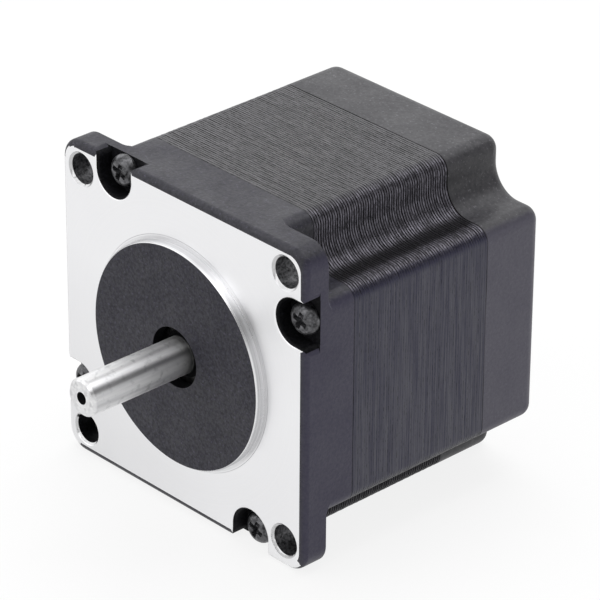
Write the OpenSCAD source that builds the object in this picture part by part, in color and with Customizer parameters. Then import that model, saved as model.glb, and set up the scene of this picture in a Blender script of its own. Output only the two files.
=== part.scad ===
// Two-phase hybrid stepper motor of the 57 mm frame size.
// X is to the right seen from the front, Y runs into the motor and Z is up.
// The origin is the middle of the machined mounting face; the shaft points along -Y.
// All lengths are in millimetres.

/* [Body] */
// Width and height of the flange, the covers and the stack
body_w = 56.4; // [54:0.2:64]
// Depth of the square notch along each long corner
notch = 9.15; // [8:0.05:9.6]
// Radius in the root of the notch
notch_root_r = 4.7; // [3:0.1:5.5]
// Radius on the outer corners of the notched section
section_corner_r = 2.5; // [2.4:0.1:3.5]

/* [Front cover] */
// Thickness of the mounting flange
flange_t = 4.7; // [4.2:0.1:6]
// Radius of the flange's corners
flange_corner_r = 3.8; // [3:0.1:4.4]
// Radius of the fillet behind the flange
flange_fillet_r = 1; // [0.5:0.1:2]
// Width of the round bevel along the edges of the machined face
bevel_w = 1.2; // [0.4:0.1:1.8]
// Depth of that bevel
bevel_depth = 1; // [0.1:0.05:1.2]
// Distance from the mounting face to the stack
front_len = 10.2; // [9.4:0.1:13]
// Distance between neighbouring mounting holes
hole_spacing = 47.14; // [46.6:0.02:47.8]
// Diameter of the mounting holes
hole_d = 5.2; // [4.5:0.1:5.6]
// Chamfer on the mounting holes
hole_chamfer = 0.4; // [0.1:0.05:0.5]
// Diameter of the pilot boss
pilot_d = 38.1; // [34:0.1:40]
// Height of the pilot boss above the mounting face
pilot_h = 1.6; // [1.2:0.1:2.2]
// Diameter of the hole that the shaft passes through
shaft_hole_d = 10.2; // [9:0.1:12]
// Chamfer on the machined edges of the front cover
front_chamfer = 0.2; // [0.1:0.05:0.4]
// Thickness of the plate in front of the windings
front_plate_t = 4.2; // [3.4:0.1:4.6]

/* [Assembly screws] */
// Distance of a screw from the middle of its side, along the side
screw_along = 15.8; // [14.5:0.1:16]
// Distance of a screw from the shaft axis, square to its side
screw_out = 25.5; // [25.4:0.1:25.6]
// Diameter of the thread
screw_d = 3; // [2.5:0.1:3.2]
// Diameter of the pan head
screw_head_d = 5.3; // [4.8:0.1:5.4]
// Height of the pan head
screw_head_h = 1.9; // [1.5:0.1:2.2]
// Length under the head
screw_len = 45; // [40:0.5:46]
// Width of the pocket that the head sits in
pocket_w = 7.6; // [7:0.1:8.2]
// Radius on the pocket's lip
pocket_lip_r = 0.7; // [0.2:0.1:1]
// Depth of that pocket below the mounting face
pocket_depth = 3; // [2.6:0.1:3.2]

/* [Shaft] */
// Diameter of the output shaft
shaft_d = 6.35; // [5:0.05:7]
// Reach of the shaft in front of the mounting face
shaft_reach = 20.6; // [15:0.1:30]
// Chamfer on the end of the shaft
shaft_chamfer = 0.4; // [0.1:0.1:0.8]
// Diameter of the centre-drilled mouth in the end of the shaft
centre_d = 2.1; // [1.2:0.1:2.6]
// Diameter of the shaft inside the rotor
core_d = 9; // [8.6:0.1:10]
// Diameter of the shoulders that the bearings seat against
shoulder_d = 10.4; // [10.2:0.1:11]

/* [Bearings] */
// Outer diameter of a bearing
bearing_d = 22; // [21.6:0.1:22.6]
// Bore of a bearing
bearing_bore = 8; // [7.6:0.1:8.2]
// Width of a bearing
bearing_w = 7; // [6.6:0.1:7.2]
// Diameter of a ball
ball_d = 3.9; // [3.5:0.1:4]
// Number of balls in a bearing
ball_count = 7; // [5:1:8]
// Thickness of a bearing shield
shield_t = 0.3; // [0.2:0.05:0.4]
// Depth of the front bearing's face behind the mounting face
front_bearing_y = 0.9; // [0.6:0.1:1.1]
// Wall round a bearing in its cover
hub_wall = 2.3; // [1.8:0.1:2.5]
// Thickness of the sheet of the wave washer
wave_t = 0.3; // [0.2:0.05:0.35]
// Height of the wave washer over its waves
wave_h = 0.85; // [0.7:0.05:0.9]
// Number of waves
wave_count = 3; // [2:1:5]

/* [Stator] */
// Length of the laminated stack
stack_len = 28.6; // [26:0.1:30]
// Diameter across the bottoms of the winding slots
slot_d = 44; // [43.4:0.1:44.6]
// Width of a pole
pole_w = 5.2; // [4.6:0.1:5.6]
// Thickness of a pole shoe, its teeth included
shoe_t = 1.95; // [1.7:0.05:2.1]
// Number of poles
pole_count = 8; // [8:1:8]
// Number of teeth on a pole
pole_teeth = 6; // [3:1:6]
// Gap between rotor and stator
air_gap = 0.2; // [0.15:0.01:0.3]

/* [Rotor] */
// Diameter over the rotor's teeth
rotor_d = 29; // [28.4:0.1:29.4]
// Number of teeth on a rotor cup
rotor_teeth = 50; // [50:10:60]
// Depth of a tooth of rotor and stator
tooth_h = 0.7; // [0.4:0.05:0.9]
// Share of the tooth pitch that is tooth
tooth_share = 0.42; // [0.35:0.01:0.48]
// Length of a rotor cup
cup_len = 12.2; // [11:0.1:12.6]
// Distance between the two rotor cups
cup_gap = 2.4; // [2:0.1:3]
// Diameter of the disc magnet
magnet_d = 24; // [20:0.5:26]
// Depth that the magnet sinks into each cup
magnet_seat = 0.5; // [0.2:0.1:0.8]

/* [Windings] */
// Thickness of a winding beside its pole
coil_t = 2.9; // [2.4:0.1:3.1]
// Height of a winding along its pole
coil_h = 3.3; // [2.8:0.1:3.4]
// Thickness of the insulators' end plates and flanges
plate_t = 0.8; // [0.6:0.1:0.9]
// Thickness of the insulators' slot liners
liner_t = 0.4; // [0.25:0.05:0.5]
// Height of the insulators' walls above the stack
former_h = 4.1; // [3.9:0.1:4.3]
// Diameter round the insulators' outer wall
former_d = 45.2; // [45:0.1:45.3]

/* [Rear cover] */
// Length of the rear cover
rear_len = 12.2; // [11.4:0.1:14]
// Radius on the rear edge
rear_edge_r = 2.2; // [1:0.1:2.3]
// Thickness of the rear wall
rear_wall_t = 1.8; // [1.4:0.1:2]
// Distance from the stack to the rear bearing
rear_bearing_gap = 2; // [1.6:0.1:2.1]
// Diameter of the shallow round recess in the rear face
rear_recess_d = 20; // [14:0.5:24]
// Depth of that recess
rear_recess_depth = 0.5; // [0.2:0.1:0.7]

/* [Terminal header] */
// Number of pins
pin_count = 6; // [4:1:6]
// Distance between pins
pin_pitch = 2.5; // [2:0.1:2.5]
// Side of a square pin
pin_w = 0.64; // [0.5:0.02:0.7]
// Height of the header along the shaft
header_h = 6; // [5.6:0.1:6.2]
// Wall of the header
header_wall = 0.9; // [0.7:0.05:1]
// Thickness of the header's base
header_base = 1.5; // [1.4:0.05:1.7]
// Depth of the header from its mouth
header_depth = 5.4; // [5:0.1:5.5]
// Thickness of the terminal board
board_t = 1; // [0.8:0.1:1.2]

/* [Hidden] */
$fn = 96;

// Clearances and small allowances
overrun = 1;
fit_gap = 0.02;
race_gap = 0.1;
screw_gap = 0.15;
slip = 0.05;
part_gap = 0.3;
recess_turn = 20;

// Places along the shaft, measured from the mounting face
seam_y = front_len;
rear_y = front_len + stack_len;
back_y = rear_y + rear_len;
stack_mid = seam_y + stack_len / 2;
rear_bearing_y = rear_y + rear_bearing_gap;
rear_seat_y = rear_bearing_y + bearing_w + wave_h;
cavity_y = back_y - rear_wall_t - part_gap;
header_y = rear_y + race_gap;
header_mid = header_y + header_h / 2;
board_y = header_y + header_h + slip;

// The notched section
half_w = body_w / 2;
arm_w = half_w - notch;
root_c = arm_w + notch_root_r;
arc_steps = 6;
edge_steps = 8;
rear_round = min(rear_edge_r, section_corner_r - slip);

// Front cover
hub_r = bearing_d / 2 + hub_wall;
cavity_r = former_d / 2 + part_gap;
hole_place = hole_spacing / 2;

// Bearing
bearing_r = bearing_d / 2;
bore_r = bearing_bore / 2;
pitch_r = (bearing_r + bore_r) / 2;
ball_r = ball_d / 2;
race_r = ball_r + race_gap;
outer_lip_r = pitch_r + ball_r * 0.87;
inner_lip_r = pitch_r - ball_r * 0.82;
shield_seat_depth = 3 * shield_t;
shield_seat_r = outer_lip_r + shield_t * 1.8;
cage_half_w = race_r + 1.5 * shield_t;
cage_wall = ball_r * 0.46;

// Stator and rotor
rotor_r = rotor_d / 2;
stator_bore_r = rotor_r + air_gap;
shoe_r = stator_bore_r + shoe_t;
slot_r = slot_d / 2;
tooth_pitch = 360 / rotor_teeth;
pole_pitch = 360 / pole_count;
tooth_gap_w = stator_bore_r * tooth_pitch * (1 - tooth_share) * PI / 180;
rotor_tooth_w = rotor_r * tooth_pitch * tooth_share * PI / 180;
shoe_half_angle = tooth_pitch * (pole_teeth - 1 + tooth_share) / 2;
rotor_len = 2 * cup_len + cup_gap;
front_cup_y = stack_mid - rotor_len / 2;
rear_cup_y = front_cup_y + cup_len + cup_gap;
magnet_y = front_cup_y + cup_len - magnet_seat;
magnet_t = cup_gap + 2 * magnet_seat;

// Windings
former_half_w = pole_w / 2 + liner_t;
coil_in = former_half_w + slip;
coil_r0 = shoe_r + slip * 2;
former_flat_r = coil_r0 + coil_h + slip * 3;
coil_corner_r = coil_t * 0.6;
lip_r = stator_bore_r + tooth_h;
lip_half_angle = shoe_half_angle - tooth_pitch / 4;
coil_len = stack_len + 2 * (plate_t + slip);
post_r = plate_t * 1.1;

// Terminal header
header_w = (pin_count - 1) * pin_pitch + pin_w + 2 * header_wall + pin_pitch;
header_x = -half_w;
header_back = header_x + header_depth;
board_out_r = cavity_r - 2 * part_gap;
board_in_r = hub_r + 2 * part_gap;
board_tab_x = header_back - header_base - slip;
pin_tip_x = header_x + header_depth * 0.2;
pin_leg_x = header_back - header_base / 2 - pin_w / 2;

// Extrudes a drawing of X and Z along the shaft, from y0 over a length
module along_y(y0, len) {
    translate([0, y0 + len, 0]) rotate([90, 0, 0]) linear_extrude(len) children();
}

// Turns a drawing of radius and Y about the shaft
module about_y() {
    rotate([-90, 0, 0]) rotate_extrude() children();
}

// Repeats a drawing of X and Z at the four sides, clockwise seen from the front
module each_side() {
    for (k = [0 : 3]) rotate(-90 * k) children();
}

// Places its children at one pole, with the pole along +X
module at_pole(k) {
    rotate([0, k * pole_pitch, 0]) children();
}

// Extrudes a drawing of Y and Z along X, from x0 over a length
module along_x(x0, len) {
    translate([x0, 0, 0]) rotate([90, 0, 90]) linear_extrude(len) children();
}

// A rectangle of X and Z about the middle, with round corners
module round_rect(w, h, r) {
    square([w, h - 2 * r], center = true);
    square([w - 2 * r, h], center = true);
    for (sx = [-1, 1], sz = [-1, 1])
        translate([sx * (w / 2 - r), sz * (h / 2 - r)]) circle(r);
}

// The notched section that the covers and the stack share, drawn in by an inset
module body_section(inset = 0) {
    round_rect(2 * (half_w - inset), 2 * (arm_w - inset), section_corner_r - inset);
    round_rect(2 * (arm_w - inset), 2 * (half_w - inset), section_corner_r - inset);
    each_side() difference() {
        square(root_c);
        translate([root_c, root_c]) circle(notch_root_r + inset);
    }
}

// Turns a drawing of radius and Y through a quarter, between two of the axes X and Z
module quarter_turn(from) {
    rotate([0, from, 0]) rotate([-90, 0, 0]) rotate_extrude(angle = 90) children();
}

// Sweeps a drawing of distance from the wall and Y round the walls of the four notches
module round_notches() {
    corner = [half_w - section_corner_r, arm_w - section_corner_r];
    for (a = [0 : 90 : 270]) rotate([0, a, 0]) {
        translate([root_c, 0, root_c]) quarter_turn(90)
            translate([notch_root_r, 0]) mirror([1, 0]) children();
        for (c = [corner, [corner.y, corner.x]])
            translate([c.x, 0, c.y]) quarter_turn(-90) translate([section_corner_r, 0]) children();
        along_x(root_c, corner.x - root_c) translate([0, arm_w]) mirror([1, -1]) children();
        mirror([1, 0, -1])
            along_x(root_c, corner.x - root_c) translate([0, arm_w]) mirror([1, -1]) children();
    }
}

// Sweeps the same drawing along the four flat sides
module along_flats() {
    flat = arm_w - section_corner_r;
    for (a = [0 : 90 : 270]) rotate([0, a, 0])
        along_x(-flat, 2 * flat) translate([0, half_w]) mirror([1, -1]) children();
}

// Fillet between the back of the flange and a wall, as distance from the wall and Y
module fillet_outline() {
    difference() {
        translate([-slip, flange_t - slip]) square(flange_fillet_r + slip);
        translate([flange_fillet_r, flange_t + flange_fillet_r]) circle(flange_fillet_r);
    }
}

// The round rear edge of the rear cover, drawn the same way
module rear_edge_outline() {
    difference() {
        translate([-rear_round - slip, back_y - rear_round - slip]) square(rear_round + slip);
        translate([-rear_round, back_y - rear_round]) difference() {
            square(rear_round + overrun);
            circle(rear_round);
        }
    }
}

// Screw places on the four sides
module at_screws() {
    each_side() translate([-screw_along, screw_out]) children();
}

// A pocket for a screw head, open through the flange's edge
module pocket_outline() {
    circle(d = pocket_w);
    translate([-pocket_w / 2, 0]) square([pocket_w, half_w - screw_out + overrun]);
}

// The flange: a square plate with round corners and a round bevel along its front edges
module flange() {
    straight = body_w - 2 * flange_corner_r;
    edge = [for (i = [0 : edge_steps]) let (a = 90 * i / edge_steps)
        [bevel_depth * (1 - cos(a)), bevel_w * (1 - sin(a))]];
    upper = [for (e = edge) [e[0], half_w - e[1]]];
    lower = [for (i = [edge_steps : -1 : 0]) [edge[i][0], edge[i][1] - half_w]];
    profile = concat(upper, [[flange_t, half_w], [flange_t, -half_w]], lower);
    for (a = [0, 90]) rotate([0, a, 0]) along_x(-straight / 2, straight) polygon(profile);
    for (sx = [-1, 1], sz = [-1, 1])
        translate([sx * straight / 2, 0, sz * straight / 2]) about_y() polygon(concat(
            [[0, 0]], [for (e = edge) [flange_corner_r - e[1], e[0]]],
            [[flange_corner_r, flange_t], [0, flange_t]]
        ));
}

// Sweeps a drawing of distance from the wall and Y round the four screw pockets
module round_pockets() {
    for (a = [0 : 90 : 270]) rotate([0, a, 0]) translate([-screw_along, 0, screw_out]) {
        rotate([-90, 0, 0]) rotate_extrude(angle = 180) translate([pocket_w / 2, 0]) children();
        for (m = [0, 1]) mirror([m, 0, 0]) translate([pocket_w / 2, 0, 0])
            linear_extrude(half_w - screw_out + overrun) children();
    }
}

// The round lip of a pocket, as distance from its wall and Y
module lip_outline() {
    difference() {
        translate([-slip, -overrun]) square([pocket_lip_r + slip, pocket_lip_r + overrun]);
        translate([pocket_lip_r, pocket_lip_r]) circle(pocket_lip_r);
    }
}

module front_cover() {
    color("#3a3a3e") difference() {
        union() {
            flange();
            along_y(bevel_depth, seam_y - bevel_depth) body_section();
            about_y() polygon([
                [0, -pilot_h], [pilot_d / 2 - front_chamfer, -pilot_h],
                [pilot_d / 2, front_chamfer - pilot_h], [pilot_d / 2, flange_t], [0, flange_t]
            ]);
            intersection() {
                round_notches() fillet_outline();
                translate([-half_w, 0, -half_w]) cube([body_w, seam_y, body_w]);
            }
        }
        // Room for the front winding ends, round the bearing's hub
        along_y(front_plate_t, seam_y - front_plate_t + overrun) difference() {
            circle(cavity_r);
            circle(hub_r);
        }
        along_y(front_bearing_y + bearing_w + slip, seam_y) circle(hub_r + slip);
        // Bearing seat, a relief in front of the inner ring, and the hole for the shaft
        along_y(front_bearing_y, seam_y) circle(bearing_r);
        along_y(front_bearing_y - part_gap, seam_y) circle(shield_seat_r);
        along_y(-pilot_h - overrun, seam_y) circle(d = shaft_hole_d);
        // Mounting holes, each with a small chamfer
        for (sx = [-1, 1], sz = [-1, 1]) translate([sx * hole_place, 0, sz * hole_place]) about_y()
            polygon([
                [0, -overrun], [hole_d / 2 + hole_chamfer + overrun, -overrun],
                [hole_d / 2, hole_chamfer], [hole_d / 2, flange_t + overrun],
                [0, flange_t + overrun]
            ]);
        // Screw pockets and their clearance holes
        along_y(-overrun, pocket_depth + overrun) at_screws() pocket_outline();
        round_pockets() lip_outline();
        along_y(-overrun, seam_y + 2 * overrun) at_screws() circle(d = screw_d + 2 * screw_gap);
    }
}

module stator_stack() {
    color("#5b5b60") along_y(seam_y, stack_len) difference() {
        union() {
            difference() {
                body_section();
                circle(slot_r);
            }
            for (k = [0 : pole_count - 1]) rotate(k * pole_pitch) {
                translate([shoe_r - shoe_t / 2, -pole_w / 2])
                    square([slot_r + shoe_t / 2 - shoe_r + overrun, pole_w]);
                pole_shoe();
            }
        }
        at_screws() circle(d = screw_d + 2 * screw_gap);
    }
}

// A pole shoe: a sector of a ring with teeth cut in its inner face
module pole_shoe() {
    reach = shoe_r + overrun;
    difference() {
        intersection() {
            difference() {
                circle(shoe_r);
                circle(stator_bore_r);
            }
            polygon([
                [0, 0],
                reach / cos(shoe_half_angle) * [cos(shoe_half_angle), -sin(shoe_half_angle)],
                reach / cos(shoe_half_angle) * [cos(shoe_half_angle), sin(shoe_half_angle)]
            ]);
        }
        for (k = [1 : pole_teeth - 1])
            rotate((k - pole_teeth / 2) * tooth_pitch)
                translate([stator_bore_r - tooth_h, -tooth_gap_w / 2])
                    square([2 * tooth_h, tooth_gap_w]);
    }
}

// A moulded former: an outer wall, and on each pole an end plate, an inner lip and two liners
module insulator(face_y, dir) {
    function out(d) = min(face_y, face_y + dir * d);
    liner_len = stack_len / 2 - slip;
    along_y(out(former_h), former_h) difference() {
        circle(d = former_d);
        rotate(pole_pitch / 2)
            circle(former_flat_r / cos(pole_pitch / 2), $fn = pole_count);
    }
    for (k = [0 : pole_count - 1]) at_pole(k) {
        // End plate over the pole
        along_y(out(plate_t), plate_t) translate([lip_r, -former_half_w])
            square([former_flat_r - lip_r + slip, 2 * former_half_w]);
        // Lip over the pole shoe
        along_y(out(former_h), former_h) difference() {
            intersection() {
                circle(shoe_r);
                polygon([
                    [0, 0],
                    slot_r * [cos(lip_half_angle), -sin(lip_half_angle)],
                    slot_r * [cos(lip_half_angle), sin(lip_half_angle)]
                ]);
            }
            circle(shoe_r - plate_t);
        }
        // Liners down both sides of the pole
        for (s = [-1, 1])
            translate([
                shoe_r + slip, face_y - (dir < 0 ? 0 : liner_len),
                s * (former_half_w - liner_t / 2) - liner_t / 2
            ]) cube([former_flat_r - shoe_r - slip, liner_len, liner_t]);
    }
}

module front_insulator() {
    color("#d9d4c4") insulator(seam_y, -1);
}

module rear_insulator() {
    color("#d9d4c4") {
        insulator(rear_y, 1);
        // Posts that carry the terminal board
        for (k = [1, 3, 6]) at_pole(k)
            translate([former_flat_r + post_r, 0, 0])
                along_y(rear_y + plate_t, board_y - rear_y - plate_t) circle(post_r);
    }
}

// One winding, a rounded loop round its pole
module coil(k) {
    loop_w = 2 * (coil_in + coil_t);
    loop_len = coil_len + 2 * coil_t;
    color("#b06a32") at_pole(k) translate([0, stack_mid, 0]) along_x(coil_r0, coil_h)
        difference() {
            round_rect(loop_len, loop_w, coil_corner_r);
            square([coil_len, 2 * coil_in], center = true);
        }
}

module shaft() {
    tip = -shaft_reach;
    step_y = front_bearing_y - race_gap * 3;
    front_shoulder_y = front_bearing_y + bearing_w;
    tail_y = rear_bearing_y + bearing_w + slip;
    color("#b9b9bb") difference() {
        about_y() polygon([
            [0, tip], [shaft_d / 2 - shaft_chamfer, tip], [shaft_d / 2, tip + shaft_chamfer],
            [shaft_d / 2, step_y], [bore_r, step_y], [bore_r, front_shoulder_y],
            [shoulder_d / 2, front_shoulder_y], [shoulder_d / 2, front_cup_y], [core_d / 2, front_cup_y],
            [core_d / 2, rear_cup_y + cup_len], [shoulder_d / 2, rear_cup_y + cup_len],
            [shoulder_d / 2, rear_bearing_y], [bore_r, rear_bearing_y], [bore_r, tail_y], [0, tail_y]
        ]);
        // Centre-drilled end
        about_y() polygon([
            [0, tip - overrun], [centre_d / 2, tip - overrun], [centre_d / 2, tip],
            [centre_d / 4, tip + centre_d * 0.43], [centre_d / 4, tip + centre_d],
            [0, tip + centre_d * 1.15]
        ]);
    }
}

// One toothed rotor cup, with a seat for the magnet in one face
module rotor_cup(y0, seat_y, phase) {
    difference() {
        along_y(y0, cup_len) difference() {
            union() {
                circle(rotor_r - tooth_h);
                for (k = [0 : rotor_teeth - 1]) rotate(phase + k * tooth_pitch) intersection() {
                    translate([rotor_r - 2 * tooth_h, -rotor_tooth_w / 2])
                        square([2 * tooth_h, rotor_tooth_w]);
                    circle(rotor_r);
                }
            }
            circle(d = core_d);
        }
        along_y(seat_y, magnet_seat) circle(d = magnet_d + 2 * slip);
    }
}

module front_rotor_cup() {
    color("#8d8d92") rotor_cup(front_cup_y, magnet_y, tooth_pitch / 2);
}

module rear_rotor_cup() {
    color("#8d8d92") rotor_cup(rear_cup_y, rear_cup_y, 0);
}

module rotor_magnet() {
    color("#4a4a4f") along_y(magnet_y, magnet_t) difference() {
        circle(d = magnet_d);
        circle(d = core_d);
    }
}

module bearing_outer_ring(y0) {
    color("#c4c4c6") about_y() translate([0, y0]) difference() {
        translate([outer_lip_r, 0]) square([bearing_r - outer_lip_r, bearing_w]);
        translate([pitch_r, bearing_w / 2]) circle(race_r);
        for (y = [-overrun, bearing_w - shield_seat_depth])
            translate([0, y]) square([shield_seat_r, shield_seat_depth + overrun]);
    }
}

module bearing_inner_ring(y0) {
    color("#c4c4c6") about_y() translate([0, y0]) difference() {
        translate([bore_r, 0]) square([inner_lip_r - bore_r, bearing_w]);
        translate([pitch_r, bearing_w / 2]) circle(race_r);
    }
}

module bearing_balls(y0) {
    color("#d6d6d8") for (k = [0 : ball_count - 1])
        rotate([0, k * 360 / ball_count, 0]) translate([pitch_r, y0 + bearing_w / 2, 0]) sphere(ball_r);
}

module bearing_cage(y0) {
    mid = y0 + bearing_w / 2;
    color("#a8a298") difference() {
        along_y(mid - cage_half_w, 2 * cage_half_w) difference() {
            circle(pitch_r + cage_wall);
            circle(pitch_r - cage_wall);
        }
        // Pockets bored through towards the shaft, one for each ball
        for (k = [0 : ball_count - 1])
            rotate([0, k * 360 / ball_count, 0]) translate([pitch_r - ball_r, mid, 0])
                rotate([0, 90, 0]) cylinder(r = ball_r + slip, h = ball_d);
    }
}

module bearing_shields(y0) {
    inset = shield_t;
    color("#a4a4a8") for (y = [y0 + inset, y0 + bearing_w - inset - shield_t])
        along_y(y, shield_t) difference() {
            circle(shield_seat_r - fit_gap);
            circle(inner_lip_r + part_gap);
        }
}

// A flat spring ring bent into waves round the shaft
module wave_washer() {
    in_r = outer_lip_r + shield_t;
    out_r = bearing_r - part_gap;
    steps = 24 * wave_count;
    lift = (wave_h - wave_t) / 2;
    function face_y(k) = rear_bearing_y + bearing_w + lift * (1 + sin(360 * wave_count * k / steps));
    corners = [[in_r, 0], [out_r, 0], [out_r, wave_t], [in_r, wave_t]];
    color("#9c9ca0") polyhedron(
        points = [for (k = [0 : steps - 1], c = corners) let (a = 360 * k / steps)
            [c[0] * cos(a), face_y(k) + c[1], c[0] * sin(a)]],
        faces = [for (k = [0 : steps - 1], c = [0 : 3])
            let (k1 = (k + 1) % steps, c1 = (c + 1) % 4)
            [4 * k + c, 4 * k1 + c, 4 * k1 + c1, 4 * k + c1]]
    );
}

// Pan-head screws with cross recesses
module assembly_screws() {
    head_r = screw_head_d / 2;
    crown_r = screw_head_h * 0.7;
    recess_w = screw_head_d * 0.17;
    recess_l = screw_head_d * 0.56;
    recess_d = screw_head_h * 0.6;
    head_y = pocket_depth - screw_head_h;
    color("#2e2e31") for (k = [0 : 3]) rotate([0, 90 * k, 0]) translate([-screw_along, 0, screw_out])
        difference() {
            about_y() polygon(concat(
                [[0, head_y]],
                [for (i = [0 : arc_steps]) let (a = 90 * i / arc_steps)
                    [head_r - crown_r * (1 - sin(a)), head_y + crown_r * (1 - cos(a))]],
                [
                    [head_r, pocket_depth], [screw_d / 2, pocket_depth],
                    [screw_d / 2, pocket_depth + screw_len - screw_d / 6],
                    [screw_d / 3, pocket_depth + screw_len], [0, pocket_depth + screw_len]
                ]
            ));
            for (a = [0, 90]) rotate([0, a + recess_turn, 0])
                translate([-recess_l / 2, head_y - overrun, -recess_w / 2])
                    cube([recess_l, recess_d + overrun, recess_w]);
        }
}

module rear_cover() {
    window_w = header_w + 2 * screw_gap;
    color("#3a3a3e") difference() {
        union() {
            along_y(rear_y, rear_len - rear_round) body_section();
            along_y(rear_y, rear_len) body_section(rear_round);
            round_notches() rear_edge_outline();
            along_flats() rear_edge_outline();
        }
        // Room for the rear winding ends and the terminal board, round the bearing's hub
        along_y(rear_y - overrun, cavity_y - rear_y + overrun) difference() {
            circle(cavity_r);
            circle(hub_r);
        }
        along_y(rear_y - overrun, rear_bearing_gap - slip + overrun) circle(hub_r + slip);
        // Bearing seat, deep enough for the wave washer
        along_y(rear_y - overrun, rear_seat_y - rear_y + overrun) circle(bearing_r);
        // Shallow recess in the rear face
        along_y(back_y - rear_recess_depth, rear_recess_depth + overrun) circle(d = rear_recess_d);
        // Screw holes
        along_y(rear_y - overrun, rear_len + 2 * overrun) at_screws() circle(d = screw_d + 2 * fit_gap);
        // Window for the terminal header, and room for the board's tab behind it
        translate([header_x - overrun, rear_y - overrun, -window_w / 2])
            cube([header_depth + 2 * overrun, board_y - rear_y + overrun, window_w]);
        translate([board_tab_x - part_gap, rear_y, -window_w / 2])
            cube([header_depth, board_y + board_t + pin_w + part_gap - rear_y, window_w]);
    }
}

module terminal_board() {
    tab_w = header_w - 2 * header_wall;
    color("#2f6b46") difference() {
        union() {
            along_y(board_y, board_t) difference() {
                circle(board_out_r);
                circle(board_in_r);
            }
            translate([board_tab_x, board_y, -tab_w / 2]) cube([board_out_r - board_in_r, board_t, tab_w]);
        }
        for (k = [0 : pin_count - 1]) pin_leg(k, pin_w + 2 * fit_gap);
    }
}

function pin_z(k) = (k - (pin_count - 1) / 2) * pin_pitch;

// The leg of one pin, from the header's middle through the board
module pin_leg(k, w) {
    translate([pin_leg_x + pin_w / 2 - w / 2, header_mid - w / 2, pin_z(k) - w / 2])
        cube([w, board_y + board_t + pin_w - header_mid + w / 2, w]);
}

// The straight contact of one pin, inside the header
module pin_contact(k, w) {
    translate([pin_tip_x, header_mid - w / 2, pin_z(k) - w / 2])
        cube([pin_leg_x + pin_w / 2 + w / 2 - pin_tip_x, w, w]);
}

module header_shell() {
    color("#e4e1d6") difference() {
        translate([header_x, header_y, -header_w / 2]) cube([header_depth, header_h, header_w]);
        translate([header_x - overrun, header_y + header_wall, header_wall - header_w / 2])
            cube([
                header_depth - header_base + overrun, header_h - 2 * header_wall,
                header_w - 2 * header_wall
            ]);
        for (k = [0 : pin_count - 1]) {
            pin_contact(k, pin_w + 2 * fit_gap);
            pin_leg(k, pin_w + 2 * fit_gap);
        }
    }
}

module header_pins() {
    color("#c8b56a") for (k = [0 : pin_count - 1]) {
        pin_contact(k, pin_w);
        pin_leg(k, pin_w);
    }
}

front_cover();
stator_stack();
rear_cover();
front_insulator();
rear_insulator();
coil(0);  // coil_1
coil(1);  // coil_2
coil(2);  // coil_3
coil(3);  // coil_4
coil(4);  // coil_5
coil(5);  // coil_6
coil(6);  // coil_7
coil(7);  // coil_8
shaft();
front_rotor_cup();
rotor_magnet();
rear_rotor_cup();
bearing_outer_ring(front_bearing_y);  // front_bearing_outer_ring
bearing_inner_ring(front_bearing_y);  // front_bearing_inner_ring
bearing_balls(front_bearing_y);  // front_bearing_balls
bearing_cage(front_bearing_y);  // front_bearing_cage
bearing_shields(front_bearing_y);  // front_bearing_shields
bearing_outer_ring(rear_bearing_y);  // rear_bearing_outer_ring
bearing_inner_ring(rear_bearing_y);  // rear_bearing_inner_ring
bearing_balls(rear_bearing_y);  // rear_bearing_balls
bearing_cage(rear_bearing_y);  // rear_bearing_cage
bearing_shields(rear_bearing_y);  // rear_bearing_shields
wave_washer();
assembly_screws();
terminal_board();
header_shell();
header_pins();
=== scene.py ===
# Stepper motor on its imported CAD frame: finishes, soft edges, sheet ribs, floor, light and camera.
# Lengths are in metres. X is to the right seen from the front, Y into the motor, Z up.
import math
import random

import bpy
from mathutils import Matrix, Vector


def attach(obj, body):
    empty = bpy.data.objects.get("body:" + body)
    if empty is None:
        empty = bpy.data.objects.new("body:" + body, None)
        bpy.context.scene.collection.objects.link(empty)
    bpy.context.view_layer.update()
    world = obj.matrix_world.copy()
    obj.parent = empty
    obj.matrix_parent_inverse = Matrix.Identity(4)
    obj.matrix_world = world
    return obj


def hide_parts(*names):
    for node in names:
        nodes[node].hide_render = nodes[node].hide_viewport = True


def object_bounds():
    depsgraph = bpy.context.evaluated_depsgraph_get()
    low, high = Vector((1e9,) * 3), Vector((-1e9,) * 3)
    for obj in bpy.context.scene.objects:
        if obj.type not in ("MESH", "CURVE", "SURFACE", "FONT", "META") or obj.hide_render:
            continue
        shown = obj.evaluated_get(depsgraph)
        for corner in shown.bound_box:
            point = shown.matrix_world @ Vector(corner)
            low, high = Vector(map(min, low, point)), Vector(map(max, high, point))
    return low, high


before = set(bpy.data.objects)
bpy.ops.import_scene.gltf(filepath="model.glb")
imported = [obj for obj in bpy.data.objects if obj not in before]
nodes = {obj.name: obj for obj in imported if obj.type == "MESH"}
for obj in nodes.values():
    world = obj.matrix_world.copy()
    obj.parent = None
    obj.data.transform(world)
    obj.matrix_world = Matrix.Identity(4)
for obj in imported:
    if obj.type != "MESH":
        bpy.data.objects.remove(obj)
cad_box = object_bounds()

MM = 0.001

# The outside of the motor: a square flange, the notched section behind it and the round boss
HALF_WIDTH = 28.2 * MM
ARM_HALF_WIDTH = 19.05 * MM
NOTCH_ROOT_CENTRE = 23.75 * MM
NOTCH_ROOT_RADIUS = 4.7 * MM
SECTION_CORNER_RADIUS = 2.5 * MM
BOSS_RADIUS = 19.05 * MM
BOSS_HEIGHT = 1.6 * MM
STACK_FRONT = 10.2 * MM
STACK_BACK = 38.8 * MM

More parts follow.
